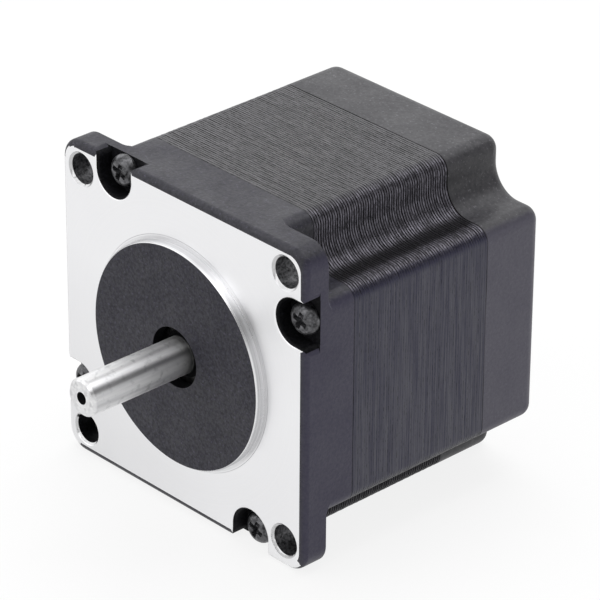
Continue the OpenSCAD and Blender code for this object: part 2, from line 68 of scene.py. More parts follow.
# Holes: through the boss, in the shaft's end, and through the flange's four corners
SHAFT_HOLE_RADIUS = 5.1 * MM
CENTRE_RADIUS = 1.06 * MM
HOLE_PLACE = 23.57 * MM
HOLE_RADIUS = 2.6 * MM
HOLE_CHAMFER = 0.4 * MM
HOLE_RIM = HOLE_RADIUS + HOLE_CHAMFER

# Screw pockets, each beside a hole, with a rounded lip and a mouth in the flange's outside edge
SCREW_ALONG = 15.8 * MM
SCREW_OUT = 25.5 * MM
POCKET_RADIUS = 3.8 * MM
POCKET_LIP = 0.7 * MM
POCKET_RIM = POCKET_RADIUS + POCKET_LIP
POCKET_FLOOR = 3.0 * MM
MOUTH_RADIUS = 1.6 * MM
MOUTH_ROOM = 1.7 * MOUTH_RADIUS
MOUTH_VERTICES = 48

# The turned mounting face up to its rounded edge, the shallow relief round the boss, and the part of a
# pocket's lip that stays dark
FACE_HALF_WIDTH = 27.0 * MM
RELIEF_RADIUS = 19.85 * MM
DARK_LIP = 0.33 * MM

# Bare metal, partly a painted reflection, on the rounding of the flange's edge: how far in the rounding
# begins, how deep the metal runs down it on the left, how it fades to the right and upwards, and the size
# of the bright corner
ROUNDING_REACH = 2.0 * MM
FACED_DEPTH = 0.32 * MM
LEFT_TAPER = 1.6 * MM
DOWN_TAPER = 30.0 * MM
MIDDLE_SHARE = 0.6
LEAST_SHARE = 0.2
CORNER_METAL_DEPTH = 0.25 * MM
CORNER_METAL_REACH = 1.0 * MM

# Margins for telling what a face belongs to
NEAR = 0.02 * MM
FLAT_MARGIN = 0.004 * MM
BOSS_FRONT_MARGIN = 0.01 * MM
BOSS_WALL_MARGIN = 0.4 * MM
BOSS_FOOT_MARGIN = 0.3 * MM
CHAMFER_MARGIN = 0.15 * MM
CHAMFER_DEPTH_MARGIN = 0.05 * MM
BORE_MARGIN = 0.1 * MM
HOLE_CLEARANCE = 0.2 * MM

# How far a face looks to the front, from its normal along Y, which is -1 where it looks straight there,
# and how little a wall that runs along the shaft looks to either end
STRAIGHT_AHEAD = -0.9
HALF_AHEAD = -0.6
BARELY_AHEAD = -0.1
STACK_WALL = 0.1
BORE_WALL = 0.3

# Widths of the rounded edges, and the angles in degrees beyond which an edge is rounded
COVER_EDGE = 0.12 * MM
REAR_EDGE = 0.15 * MM
SCREW_EDGE = 0.1 * MM
EDGE_SEGMENTS = 2
COVER_SHARP = 50.0
SCREW_SHARP = 40.0

# Angles in degrees within which an edge shades smoothly or two faces are one, and the distances at
# which points are one
SMOOTH_WITHIN = 32.0
SHEET_SMOOTH_WITHIN = 50.0
FLAT_WITHIN = 0.4
COPY_MERGE = 0.002 * MM
SHEET_MERGE = 0.001 * MM

# Sheets of the stack, each with a rounded edge: how far along the sheet a ring of its wall
# lies, and how far it drops from the crown as a share of the groove's depth
SHEET_COUNT = 57
SHEET_PITCH = (STACK_BACK - STACK_FRONT) / SHEET_COUNT
SHEET_RINGS = ((0.0, 1.0), (0.14, 0.28), (0.36, 0.0), (0.64, 0.0), (0.86, 0.28))
SHEET_STEP = 0.03 * MM
SHEET_LEAN = 0.03 * MM
SHEET_SEED = 7

# Depth of the grooves between the sheets, the share of it that paint leaves open on the two broad
# sides, and the share that the notches add
GROOVE_DEPTH = 0.12 * MM
FILLED_GROOVE = 0.1
NOTCH_GROOVE = 0.35

# Places between which a finish fades in or out
SIDE_FADE = (HALF_WIDTH - 1.2 * MM, HALF_WIDTH - 0.2 * MM)
TOP_FADE = (HALF_WIDTH - 0.8 * MM, HALF_WIDTH)
NOTCH_FADE = (ARM_HALF_WIDTH - SECTION_CORNER_RADIUS, ARM_HALF_WIDTH - 0.8 * MM)
UNDER_ARM_FADE = (-18.2 * MM, -16.8 * MM)
SEAM_FADE = (0.06 * MM, 0.22 * MM)
CORNER_SHADE_FADE = (8.0 * MM, 38.0 * MM)
RELIEF_STEP = (RELIEF_RADIUS - 0.1 * MM, RELIEF_RADIUS)
BOSS_EDGE_FADE = (-BOSS_HEIGHT + 0.25 * MM, -BOSS_HEIGHT + 0.4 * MM)
BOSS_FOOT_FADE = (-1.1 * MM, -0.1 * MM)
CHAMFER_FADE = (0.02 * MM, 0.12 * MM)
CENTRE_FADE = (CENTRE_RADIUS - NEAR, CENTRE_RADIUS)
IN_BOSS_FADE = (-0.9 * MM, -0.2 * MM)

# Bands of a finish: from, to, and how soft the two ends are
RELIEF_BAND = (BOSS_RADIUS - 1.0 * MM, RELIEF_RADIUS - 0.3 * MM, 0.08 * MM)
RELIEF_RIM_BAND = (RELIEF_RADIUS - 0.06 * MM, RELIEF_RADIUS, 0.05 * MM)
SHELTER_BAND = (22.6 * MM, 24.6 * MM, 1.0 * MM)
SHELTER_HEIGHT_BAND = (18.0 * MM, 20.0 * MM, 0.6 * MM)

# Values between which a pattern goes from nothing to all: of a noise, and in the last of these of the
# distance from a joint as a share of a sheet
CLOUD_RANGE = (0.3, 0.7)
PEEL_RANGE = (0.35, 0.7)
SPECK_RANGE = (0.66, 0.74)
PIT_RANGE = (0.42, 0.62)
SEAM_RANGE = (0.4, 0.6)
SHAFT_STREAK_RANGE = (0.35, 0.65)
MOTTLE_RANGE = (0.55, 0.75)
STREAK_RANGE = (0.36, 0.64)
DASH_RANGE = (0.5, 0.8)
CROWN_RANGE = (-0.02, 0.06)

# Colours of the bare joints, and of painted shade in sheltered and deep places
SEAM_BLACK = (0.002, 0.002, 0.002)
JOINT_BLACK = (0.002, 0.002, 0.0025)
PAINTED_SHADE_BLACK = (0.006, 0.006, 0.007)
SHADED_STEEL_BLACK = (0.012, 0.012, 0.013)


# Shader nodes

def new_finish(name, colour, metallic, roughness, specular=0.5):
    """A material with one principled shader, returned with its node tree and shader."""
    material = bpy.data.materials.new(name)
    material.use_nodes = True
    tree = material.node_tree
    tree.nodes.clear()
    output = tree.nodes.new("ShaderNodeOutputMaterial")
    shader = tree.nodes.new("ShaderNodeBsdfPrincipled")
    tree.links.new(shader.outputs["BSDF"], output.inputs["Surface"])
    shader.inputs["Base Color"].default_value = (*colour, 1.0)
    shader.inputs["Metallic"].default_value = metallic
    shader.inputs["Roughness"].default_value = roughness
    shader.inputs["Specular IOR Level"].default_value = specular
    return material, tree, shader


def feed(tree, socket, source):
    """Feeds a socket from another one, or sets it to a number or a plain colour."""
    if isinstance(source, bpy.types.NodeSocket):
        tree.links.new(source, socket)
    elif isinstance(source, tuple):
        socket.default_value = (*source, 1.0)
    else:
        socket.default_value = source


def place(tree, stretch=(1.0, 1.0, 1.0)):
    """Object coordinates, stretched along the axes."""
    coordinates = tree.nodes.new("ShaderNodeTexCoord")
    mapping = tree.nodes.new("ShaderNodeMapping")
    mapping.inputs["Scale"].default_value = stretch
    tree.links.new(coordinates.outputs["Object"], mapping.inputs["Vector"])
    return mapping.outputs["Vector"]


def axes(tree, kind="Object"):
    """The coordinates along X, Y and Z, one by one."""
    coordinates = tree.nodes.new("ShaderNodeTexCoord")
    parts = tree.nodes.new("ShaderNodeSeparateXYZ")
    tree.links.new(coordinates.outputs[kind], parts.inputs["Vector"])
    return parts.outputs["X"], parts.outputs["Y"], parts.outputs["Z"]


def distance_from(tree, vector, point=(0.0, 0.0, 0.0)):
    """The distance of a place from a point."""
    distance = tree.nodes.new("ShaderNodeVectorMath")
    distance.operation = "DISTANCE"
    tree.links.new(vector, distance.inputs[0])
    distance.inputs[1].default_value = point
    return distance.outputs["Value"]


def grain(tree, vector, scale, detail=2.0, roughness=0.5):
    """Noise with features of about one over the scale, in metres."""
    noise = tree.nodes.new("ShaderNodeTexNoise")
    noise.inputs["Scale"].default_value = scale
    noise.inputs["Detail"].default_value = detail
    noise.inputs["Roughness"].default_value = roughness
    tree.links.new(vector, noise.inputs["Vector"])
    return noise.outputs["Fac"]


def stretched_grain(tree, stretch, detail=2.0, roughness=0.5):
    """Noise with a scale of its own along each axis."""
    return grain(tree, place(tree, stretch), 1.0, detail, roughness)


def spread(tree, value, from_low, from_high, to_low=0.0, to_high=1.0):
    """Spreads a value from one range over another, and clamps it."""
    remap = tree.nodes.new("ShaderNodeMapRange")
    tree.links.new(value, remap.inputs["Value"])
    ends = {"From Min": from_low, "From Max": from_high, "To Min": to_low, "To Max": to_high}
    for socket, number in ends.items():
        remap.inputs[socket].default_value = number
    return remap.outputs["Result"]


def blend(tree, data_type, factor, first, second):
    """A mix of two values or colours, each a socket or plain."""
    mix = tree.nodes.new("ShaderNodeMix")
    mix.data_type = data_type
    tree.links.new(factor, mix.inputs["Factor"])
    feed(tree, mix.inputs["A"], first)
    feed(tree, mix.inputs["B"], second)
    return mix.outputs["Result"]


def blend_values(tree, factor, first, second):
    """A mix of two values."""
    return blend(tree, "FLOAT", factor, first, second)


def blend_tones(tree, factor, first, second):
    """A mix of two colours."""
    return blend(tree, "RGBA", factor, first, second)


def calculate(tree, operation, first, second=0.0):
    """One step of arithmetic on a value, with a number or another value."""
    step = tree.nodes.new("ShaderNodeMath")
    step.operation = operation
    feed(tree, step.inputs[0], first)
    feed(tree, step.inputs[1], second)
    return step.outputs["Value"]


def product(tree, first, second):
    """One value times another."""
    return calculate(tree, "MULTIPLY", first, second)


def total(tree, first, second):
    """The sum of two values."""
    return calculate(tree, "ADD", first, second)


def less(tree, first, second):
    """One value less another."""
    return calculate(tree, "SUBTRACT", first, second)


def larger(tree, first, second):
    """The larger of two values."""
    return calculate(tree, "MAXIMUM", first, second)


def band(tree, value, low, high, soft):
    """One between two values of a distance and nothing outside them, with soft ends."""
    rise = spread(tree, value, low - soft, low)
    fall = spread(tree, value, high, high + soft, 1.0, 0.0)
    return product(tree, rise, fall)


def shade(colour, share):
    """A colour made darker or brighter by a share."""
    return tuple(share * channel for channel in colour)


def cloud_gloss(tree, shader, lowest, highest, scale, detail):
    """Slow changes of roughness over a surface."""
    cloud = grain(tree, place(tree), scale, detail)
    feed(tree, shader.inputs["Roughness"], spread(tree, cloud, *CLOUD_RANGE, lowest, highest))


def relief(tree, shader, height, depth):
    """A bump of the given depth in metres."""
    bump = tree.nodes.new("ShaderNodeBump")
    bump.inputs["Distance"].default_value = depth
    bump.inputs["Strength"].default_value = 1.0
    tree.links.new(height, bump.inputs["Height"])
    tree.links.new(bump.outputs["Normal"], shader.inputs["Normal"])


# Places on the motor, as values for its finishes

def along_shaft(tree):
    """The distance into the motor."""
    return axes(tree)[1]


def from_shaft(tree):
    """The distance from the shaft's axis."""
    return distance_from(tree, place(tree, (1.0, 0.0, 1.0)))


def on_right_side(tree):
    """One on the broad side that faces right, and nothing on the other walls."""
    across, _, height = axes(tree)
    side = spread(tree, across, *SIDE_FADE)
    under_top = spread(tree, height, *TOP_FADE, 1.0, 0.0)
    return product(tree, side, under_top)


def in_the_notches(tree):
    """One on the walls of the four notches, and nothing on the broad sides."""
    across, _, height = axes(tree)
    sideways = calculate(tree, "ABSOLUTE", across)
    upwards = calculate(tree, "ABSOLUTE", height)
    return spread(tree, calculate(tree, "MINIMUM", sideways, upwards), *NOTCH_FADE)


def in_painted_shade(tree):
    """Painted shade where little light reaches the notches' walls: beside the upper arms and under the
    lower ones.
    """
    across, _, height = axes(tree)
    beside = band(tree, calculate(tree, "ABSOLUTE", across), *SHELTER_BAND)
    at_arm = band(tree, height, *SHELTER_HEIGHT_BAND)
    under = spread(tree, height, *UNDER_ARM_FADE, 1.0, 0.0)
    return product(tree, larger(tree, product(tree, beside, at_arm), under), 0.8)


def open_seam(tree, seam_at):
    """One in the seam beside the stack, where it hasn't filled with paint."""
    away = calculate(tree, "ABSOLUTE", less(tree, along_shaft(tree), seam_at))
    line = spread(tree, away, *SEAM_FADE, 1.0, 0.0)
    unfilled = spread(tree, grain(tree, place(tree), scale=45.0), *SEAM_RANGE, 0.35, 1.0)
    return product(tree, line, unfilled)


def turned_rings(tree, ring_pitch):
    """Noise in rings about the shaft's axis."""
    noise = tree.nodes.new("ShaderNodeTexNoise")
    noise.noise_dimensions = "1D"
    noise.inputs["Scale"].default_value = 1.0
    noise.inputs["Detail"].default_value = 3.0
    tree.links.new(product(tree, from_shaft(tree), 1.0 / ring_pitch), noise.inputs["W"])
    return noise.outputs["Fac"]


def sheet_crowns(tree, lumps, notched, right):
    """One on the sheets' crowns and nothing in their bare joints, which are wider in some places."""
    sheets = calculate(tree, "DIVIDE", less(tree, along_shaft(tree), STACK_FRONT), SHEET_PITCH)
    joint_noise = tree.nodes.new("ShaderNodeTexWhiteNoise")
    joint_noise.noise_dimensions = "1D"
    tree.links.new(calculate(tree, "ROUND", sheets), joint_noise.inputs["W"])
    reach = total(tree, product(tree, lumps, 0.16), product(tree, joint_noise.outputs["Value"], 0.06))
    reach = total(tree, reach, product(tree, notched, 0.03))
    reach = less(tree, reach, product(tree, right, 0.13))
    from_joint = calculate(tree, "PINGPONG", sheets, 0.5)
    return spread(tree, less(tree, from_joint, reach), *CROWN_RANGE)


# Finishes

def speckled_paint(name, dark, light, side, roughness, depth, pitting, seam_at, specular=0.5):
    """Paint on a casting: an orange peel with dull pits, over slow changes of gloss and tone, and a
    painted tint of reflected light on the right side.
    """
    material, tree, shader = new_finish(name, light, 0.0, roughness, specular)
    peel = grain(tree, place(tree), scale=1300.0, detail=3.0, roughness=0.65)
    specks = spread(tree, grain(tree, place(tree), scale=2600.0, detail=1.0), *SPECK_RANGE)
    bright_speck = shade(light, 2.2)
    # Painted reflection: the right side takes the side colour, a tint of reflected light
    painted_tint_share = product(tree, on_right_side(tree), 0.75)
    seam = open_seam(tree, seam_at)
    tone = blend_tones(tree, spread(tree, peel, *PEEL_RANGE), dark, light)
    tone = blend_tones(tree, specks, tone, bright_speck)
    tone = blend_tones(tree, painted_tint_share, tone, side)
    feed(tree, shader.inputs["Base Color"], blend_tones(tree, seam, tone, SEAM_BLACK))
    pits = spread(tree, grain(tree, place(tree), scale=2100.0, roughness=0.6), *PIT_RANGE, 0.0, pitting)
    feed(tree, shader.inputs["Metallic"], larger(tree, pits, seam))
    cloud_gloss(tree, shader, roughness - 0.05, roughness + 0.07, scale=170.0, detail=3.0)
    relief(tree, shader, peel, depth)
    return material


def faced_plate(name, dark, light, roughness, ring_pitch):
    """The turned mounting face, with a shallow relief round the boss and painted shade towards the lower
    left.
    """
    material, tree, shader = new_finish(name, light, 1.0, roughness)
    grey = shade(dark, 0.72)
    rings = turned_rings(tree, ring_pitch)
    radius = from_shaft(tree)
    tone = blend_tones(tree, spread(tree, rings, *CLOUD_RANGE), dark, light)
    sunk_share = product(tree, band(tree, radius, *RELIEF_BAND), 0.45)
    tone = blend_tones(tree, sunk_share, tone, grey)
    rim_share = product(tree, band(tree, radius, *RELIEF_RIM_BAND), 0.5)
    tone = blend_tones(tree, rim_share, tone, grey)
    # Painted shade: the face greys towards its lower left corner
    from_corner = distance_from(tree, place(tree), (-HALF_WIDTH, 0.0, -HALF_WIDTH))
    corner_shade = spread(tree, from_corner, *CORNER_SHADE_FADE, 0.42, 0.0)
    feed(tree, shader.inputs["Base Color"], blend_tones(tree, corner_shade, tone, grey))
    cloud_gloss(tree, shader, roughness - 0.06, roughness + 0.06, scale=90.0, detail=3.0)
    step = spread(tree, radius, *RELIEF_STEP)
    relief(tree, shader, total(tree, product(tree, rings, 0.02), step), 0.05 * MM)
    return material


def drawn_metal(name, dark, light, roughness, stretch, depth, metallic=1.0):
    """Metal with fine lines, from a noise stretched across them."""
    material, tree, shader = new_finish(name, light, metallic, roughness)
    lines = stretched_grain(tree, stretch, detail=3.0, roughness=0.6)
    tone = blend_tones(tree, spread(tree, lines, *CLOUD_RANGE), dark, light)
    feed(tree, shader.inputs["Base Color"], tone)
    cloud_gloss(tree, shader, roughness - 0.06, roughness + 0.08, scale=120.0, detail=2.0)
    relief(tree, shader, lines, depth)
    return material


def turned_wall(name, dark, light, roughness, stretch, depth):
    """The boss's turned wall, bright along its front edge, and the holes' chamfers."""
    material = drawn_metal(name, dark, light, roughness, stretch, depth)
    tree = material.node_tree
    shader = tree.nodes["Principled BSDF"]
    turned = shader.inputs["Base Color"].links[0].from_socket
    inward = along_shaft(tree)
    behind_edge = spread(tree, inward, *BOSS_EDGE_FADE, 0.2, 0.62)
    above_foot = spread(tree, inward, *BOSS_FOOT_FADE, 1.0, 0.1)
    chamfer = spread(tree, inward, *CHAMFER_FADE, 0.0, 0.9)
    greyed = total(tree, product(tree, behind_edge, above_foot), chamfer)
    feed(tree, shader.inputs["Base Color"], blend_tones(tree, greyed, turned, shade(light, 0.58)))
    return material


def ground_shaft(name, dark, light, roughness, spread_along):
    """Ground steel whose fine lines draw reflections out along the shaft; painted shade makes it black in
    its deep places.
    """
    material, tree, shader = new_finish(name, light, 1.0, roughness)
    lines = stretched_grain(tree, (120.0, 4200.0, 120.0), roughness=0.6)
    streaks = stretched_grain(tree, (1100.0, 45.0, 1100.0))
    mottle = grain(tree, place(tree), scale=900.0)
    tone = blend_tones(tree, spread(tree, streaks, *SHAFT_STREAK_RANGE), dark, light)
    tone = blend_tones(tree, spread(tree, mottle, *MOTTLE_RANGE), tone, shade(dark, 0.8))
    # Painted shade: black in the centre hole and where the shaft runs into the boss
    drilled = spread(tree, from_shaft(tree), *CENTRE_FADE, 1.0, 0.0)
    in_boss = spread(tree, along_shaft(tree), *IN_BOSS_FADE)
    shaded_inside = larger(tree, drilled, in_boss)
    feed(tree, shader.inputs["Base Color"], blend_tones(tree, shaded_inside, tone, SHADED_STEEL_BLACK))
    gloss = spread(tree, lines, *CLOUD_RANGE, roughness - 0.01, roughness + 0.015)
    feed(tree, shader.inputs["Roughness"], larger(tree, gloss, product(tree, shaded_inside, 0.8)))
    around = tree.nodes.new("ShaderNodeTangent")
    around.direction_type = "RADIAL"
    around.axis = "Y"
    feed(tree, shader.inputs["Tangent"], around.outputs["Tangent"])
    shader.inputs["Anisotropic"].default_value = spread_along
    shader.inputs["Anisotropic Rotation"].default_value = 0.25
    relief(tree, shader, lines, 0.00015 * MM)
    return material


def stacked_sheets(name, dark, light, side, roughness):
    """Painted sheet edges: broken streaks along each sheet, with joints that the paint half fills."""
    material, tree, shader = new_finish(name, light, 0.0, roughness, specular=0.75)
    streaks = stretched_grain(tree, (260.0, 3600.0, 260.0), detail=4.0, roughness=0.7)
    lumps = stretched_grain(tree, (1300.0, 2600.0, 1300.0), roughness=0.6)
    lumps = spread(tree, lumps, *STREAK_RANGE)
    drawn_down = stretched_grain(tree, (90.0, 3000.0, 90.0), detail=3.0, roughness=0.6)
    notched = in_the_notches(tree)
    right = on_right_side(tree)
    painted_shade = in_painted_shade(tree)
    crown = sheet_crowns(tree, lumps, notched, right)

    # The tone of a sheet's crown: even on the broad sides, in short dashes of painted highlight in the
    # notches
    even = blend_tones(tree, spread(tree, streaks, *STREAK_RANGE), dark, light)
    lumpy_streaks = total(tree, streaks, product(tree, lumps, 0.3))
    highlight_dashes = spread(tree, lumpy_streaks, *DASH_RANGE)
    dashed_highlights = blend_tones(tree, highlight_dashes, shade(light, 0.8), shade(light, 3.3))
    tone = blend_tones(tree, notched, even, dashed_highlights)
    # Painted reflection: the right side takes a violet tint of reflected light
    tone = blend_tones(tree, product(tree, right, 0.92), tone, side)
    tone = blend_tones(tree, crown, JOINT_BLACK, tone)
    # Painted shade: near black in the sheltered notches and under the lower arms
    feed(tree, shader.inputs["Base Color"], blend_tones(tree, painted_shade, tone, PAINTED_SHADE_BLACK))

    # Dark paint that counts as metal doesn't shine: the joints; the notches and sheltered places, as
    # painted shade; and streaks of painted shade on the right
    open_joint = less(tree, product(tree, notched, 0.2), product(tree, right, 0.25))
    open_joint = total(tree, open_joint, 0.5)
    dull = product(tree, open_joint, spread(tree, crown, 0.0, 1.0, 1.0, 0.0))
    side_shade_streaks = spread(tree, drawn_down, *STREAK_RANGE, 0.0, 0.45)
    dull = larger(tree, dull, product(tree, right, side_shade_streaks))
    dull = larger(tree, dull, product(tree, notched, 0.88))
    feed(tree, shader.inputs["Metallic"], larger(tree, dull, painted_shade))
    gloss = spread(tree, streaks, *CLOUD_RANGE, roughness + 0.12, roughness - 0.08)
    feed(tree, shader.inputs["Roughness"], blend_values(tree, crown, 0.85, gloss))
    relief(tree, shader, blend_values(tree, right, lumpy_streaks, drawn_down), 0.06 * MM)
    return material


def moulded_plastic(name, dark, light, roughness):
    """Plastic from a spark-eroded mould."""
    material, tree, shader = new_finish(name, light, 0.0, roughness)
    cloud = grain(tree, place(tree), scale=90.0)
    tone = blend_tones(tree, spread(tree, cloud, *CLOUD_RANGE), dark, light)
    feed(tree, shader.inputs["Base Color"], tone)
    relief(tree, shader, grain(tree, place(tree), scale=1500.0), 0.01 * MM)
    return material


# The side colours are a painted tint of reflected light on the motor's right side
paint = speckled_paint(
    "cover_black_paint", dark=(0.003, 0.0028, 0.008), light=(0.017, 0.0157, 0.025),
    side=(0.03, 0.026, 0.058), roughness=0.46, depth=0.06 * MM, pitting=0.2, seam_at=STACK_FRONT)
boss_paint = speckled_paint(
    "boss_black_paint", dark=(0.002, 0.0018, 0.007), light=(0.016, 0.0145, 0.027),
    side=(0.024, 0.021, 0.052), roughness=0.52, depth=0.07 * MM, pitting=0.36, seam_at=STACK_FRONT)
rear_paint = speckled_paint(
    "rear_cover_black_paint", dark=(0.018, 0.0175, 0.021), light=(0.038, 0.037, 0.042),
    side=(0.076, 0.071, 0.102), roughness=0.46, depth=0.05 * MM, pitting=0.2, seam_at=STACK_BACK)
# Black paint made darker and duller as painted shade, for the bores, the pockets and the shaft's hole
recess_paint_and_shade = speckled_paint(
    "recess_black_paint_and_shade", dark=(0.002, 0.002, 0.0025), light=(0.006, 0.006, 0.008),
    side=(0.003, 0.003, 0.004), roughness=0.6, depth=0.03 * MM, pitting=0.5, seam_at=STACK_FRONT,
    specular=0.15)
faced_metal = faced_plate(
    "faced_aluminium", dark=(0.865, 0.865, 0.877), light=(0.875, 0.875, 0.887),
    roughness=0.36, ring_pitch=0.35 * MM)
wall_metal = turned_wall(
    "turned_boss_wall", dark=(0.45, 0.45, 0.46), light=(0.94, 0.94, 0.95),
    roughness=0.28, stretch=(30.0, 2600.0, 30.0), depth=0.012 * MM)
cast_bore = drawn_metal(
    "rough_cast_bore", dark=(0.002, 0.002, 0.003), light=(0.2, 0.2, 0.21),
    roughness=0.5, stretch=(2000.0, 2000.0, 2000.0), depth=0.1 * MM, metallic=0.7)
ground_steel = ground_shaft(
    "ground_shaft_steel", dark=(0.66, 0.66, 0.67), light=(0.82, 0.82, 0.82),
    roughness=0.31, spread_along=0.89)
# Its side colour is a painted violet tint of reflected light on the right side
sheet_edges = stacked_sheets(
    "painted_sheet_edges", dark=(0.004, 0.0038, 0.006), light=(0.046, 0.044, 0.052),
    side=(0.007, 0.006, 0.03), roughness=0.36)
# Painted shade: the front bearing sits deep in the boss's bore, so its steel is made dark
shaded_bearing_steel = drawn_metal(
    "bearing_steel_in_painted_shade", dark=(0.03, 0.03, 0.03), light=(0.12, 0.12, 0.12),
    roughness=0.3, stretch=(700.0, 700.0, 700.0), depth=0.01 * MM)
rotor_steel = drawn_metal(
    "ground_rotor_steel", dark=(0.38, 0.38, 0.4), light=(0.58, 0.58, 0.6),
    roughness=0.38, stretch=(200.0, 3800.0, 200.0), depth=0.01 * MM)
bearing_steel = drawn_metal(
    "polished_bearing_steel", dark=(0.68, 0.68, 0.69), light=(0.8, 0.8, 0.81),
    roughness=0.14, stretch=(300.0, 2600.0, 300.0), depth=0.002 * MM)
pressed_steel = drawn_metal(
    "pressed_bright_sheet", dark=(0.52, 0.52, 0.53), light=(0.7, 0.7, 0.71),
    roughness=0.32, stretch=(700.0, 700.0, 700.0), depth=0.006 * MM)
magnet_plate = drawn_metal(
    "dull_magnet_plate", dark=(0.22, 0.22, 0.24), light=(0.32, 0.32, 0.34),
    roughness=0.45, stretch=(900.0, 900.0, 900.0), depth=0.01 * MM)
black_oxide = drawn_metal(
    "black_oxide_steel", dark=(0.004, 0.004, 0.005), light=(0.17, 0.17, 0.18),
    roughness=0.34, stretch=(1300.0, 1300.0, 1300.0), depth=0.07 * MM, metallic=0.7)
copper_wire = drawn_metal(
    "enamelled_copper", dark=(0.36, 0.13, 0.05), light=(0.72, 0.33, 0.14),
    roughness=0.32, stretch=(2600.0, 2600.0, 2600.0), depth=0.06 * MM, metallic=0.8)
tinned_brass = drawn_metal(
    "tinned_brass", dark=(0.66, 0.6, 0.4), light=(0.82, 0.76, 0.54),
    roughness=0.28, stretch=(900.0, 900.0, 900.0), depth=0.004 * MM)
ivory_former = moulded_plastic(
    "ivory_former_plastic", dark=(0.68, 0.64, 0.53), light=(0.78, 0.75, 0.65), roughness=0.5)
ivory_header = moulded_plastic(
    "ivory_header_plastic", dark=(0.74, 0.71, 0.62), light=(0.82, 0.8, 0.72), roughness=0.42)
green_board = moulded_plastic(
    "green_board_lacquer", dark=(0.03, 0.15, 0.07), light=(0.05, 0.22, 0.11), roughness=0.3)

NODE_FINISHES = {
    "shaft": ground_steel,
    "assembly_screws": black_oxide,
    "front_insulator": ivory_former,
    "rear_insulator": ivory_former,
    "front_rotor_cup": rotor_steel,
    "rear_rotor_cup": rotor_steel,
    "rotor_magnet": magnet_plate,
    "wave_washer": pressed_steel,
    "terminal_board": green_board,
    "header_shell": ivory_header,
    "header_pins": tinned_brass,
    # The front bearing takes the darkened steel, as painted shade
    "front_bearing_outer_ring": shaded_bearing_steel,
    "front_bearing_inner_ring": shaded_bearing_steel,
    "front_bearing_balls": bearing_steel,
    "front_bearing_cage": pressed_steel,
    "front_bearing_shields": shaded_bearing_steel,
    "rear_bearing_outer_ring": bearing_steel,
    "rear_bearing_inner_ring": bearing_steel,
    "rear_bearing_balls": bearing_steel,
    "rear_bearing_cage": pressed_steel,
    "rear_bearing_shields": pressed_steel,
}
COIL_COUNT = 8
for number in range(1, COIL_COUNT + 1):
    NODE_FINISHES[f"coil_{number}"] = copper_wire


def finish_node(name, material):
    """Gives every material slot of a CAD node one finish."""
    node = nodes[name]
    if not node.material_slots:
        node.data.materials.append(material)
    for material_slot in node.material_slots:
        material_slot.material = material


for node_name, node_finish in NODE_FINISHES.items():
    finish_node(node_name, node_finish)


# Pieces that stand for CAD nodes

def only(piece):
    """Makes a piece the one selected, active object."""
    bpy.ops.object.select_all(action="DESELECT")
    piece.select_set(True)
    bpy.context.view_layer.objects.active = piece


def unselect(mesh):
    """Unselects all of a mesh."""
    for part in list(mesh.vertices) + list(mesh.edges) + list(mesh.polygons):
        part.select = False


def ends_of(mesh, edge):
    """The places of an edge's two ends."""
    return [mesh.vertices[index].co for index in edge.vertices]


def merged_copy(node_name, name, finishes):
    """A copy of a CAD node with its triangles joined into whole faces, and its own finishes."""
    piece = nodes[node_name].copy()
    piece.data = nodes[node_name].data.copy()
    piece.name = name
    piece.parent = None
    piece.matrix_world = Matrix.Identity(4)
    bpy.context.scene.collection.objects.link(piece)
    only(piece)
    bpy.ops.object.mode_set(mode="EDIT")
    bpy.ops.mesh.select_mode(type="VERT")
    bpy.ops.mesh.select_all(action="SELECT")
    bpy.ops.mesh.remove_doubles(threshold=COPY_MERGE)
    bpy.ops.mesh.dissolve_limited(angle_limit=math.radians(FLAT_WITHIN))
    bpy.ops.object.mode_set(mode="OBJECT")
    piece.data.materials.clear()
    for finish in finishes:
        piece.data.materials.append(finish)
    return piece


def round_edges(piece, width, sharper_than, left_sharp=None):
    """Rounds the edges that are sharper than an angle in degrees, and smooths the rest."""
    only(piece)
    mesh = piece.data
    bpy.ops.object.mode_set(mode="EDIT")
    bpy.ops.mesh.select_mode(type="EDGE")
    bpy.ops.mesh.select_all(action="DESELECT")
    bpy.ops.mesh.edges_select_sharp(sharpness=math.radians(sharper_than))
    bpy.ops.object.mode_set(mode="OBJECT")
    weights = mesh.attributes.new("bevel_weight_edge", "FLOAT", "EDGE")
    for edge in mesh.edges:
        kept = left_sharp is not None and any(left_sharp(end) for end in ends_of(mesh, edge))
        if edge.select and not kept:
            weights.data[edge.index].value = 1.0
    bevel = piece.modifiers.new("edge_round", "BEVEL")
    bevel.width = width
    bevel.segments = EDGE_SEGMENTS
    bevel.limit_method = "WEIGHT"
    bevel.use_clamp_overlap = False
    bevel.harden_normals = False
    bpy.ops.object.modifier_apply(modifier=bevel.name)
    bpy.ops.object.shade_smooth_by_angle(angle=math.radians(SMOOTH_WITHIN))
    level = piece.modifiers.new("level_shading", "WEIGHTED_NORMAL")
    level.mode = "FACE_AREA"
    level.weight = 100
    level.keep_sharp = True
    bpy.ops.object.modifier_apply(modifier=level.name)


def stand_for(piece, node_name):
    """Puts a finished piece in the place of a CAD node of the housing."""
    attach(piece, "housing")
    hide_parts(node_name)


def soften(node_name, name, finish, width, sharper_than):
    """Replaces a CAD node by a copy of itself that has soft edges and one finish."""
    piece = merged_copy(node_name, name, [finish])
    round_edges(piece, width, sharper_than)
    stand_for(piece, node_name)


def clamp(value):
    """A value held between nothing and one."""
    return min(max(value, 0.0), 1.0)


def folded(point):
    """A point's distances from the shaft's axis, the larger one first."""
    first, second = abs(point.x), abs(point.z)
    return max(first, second), min(first, second)


# The stack

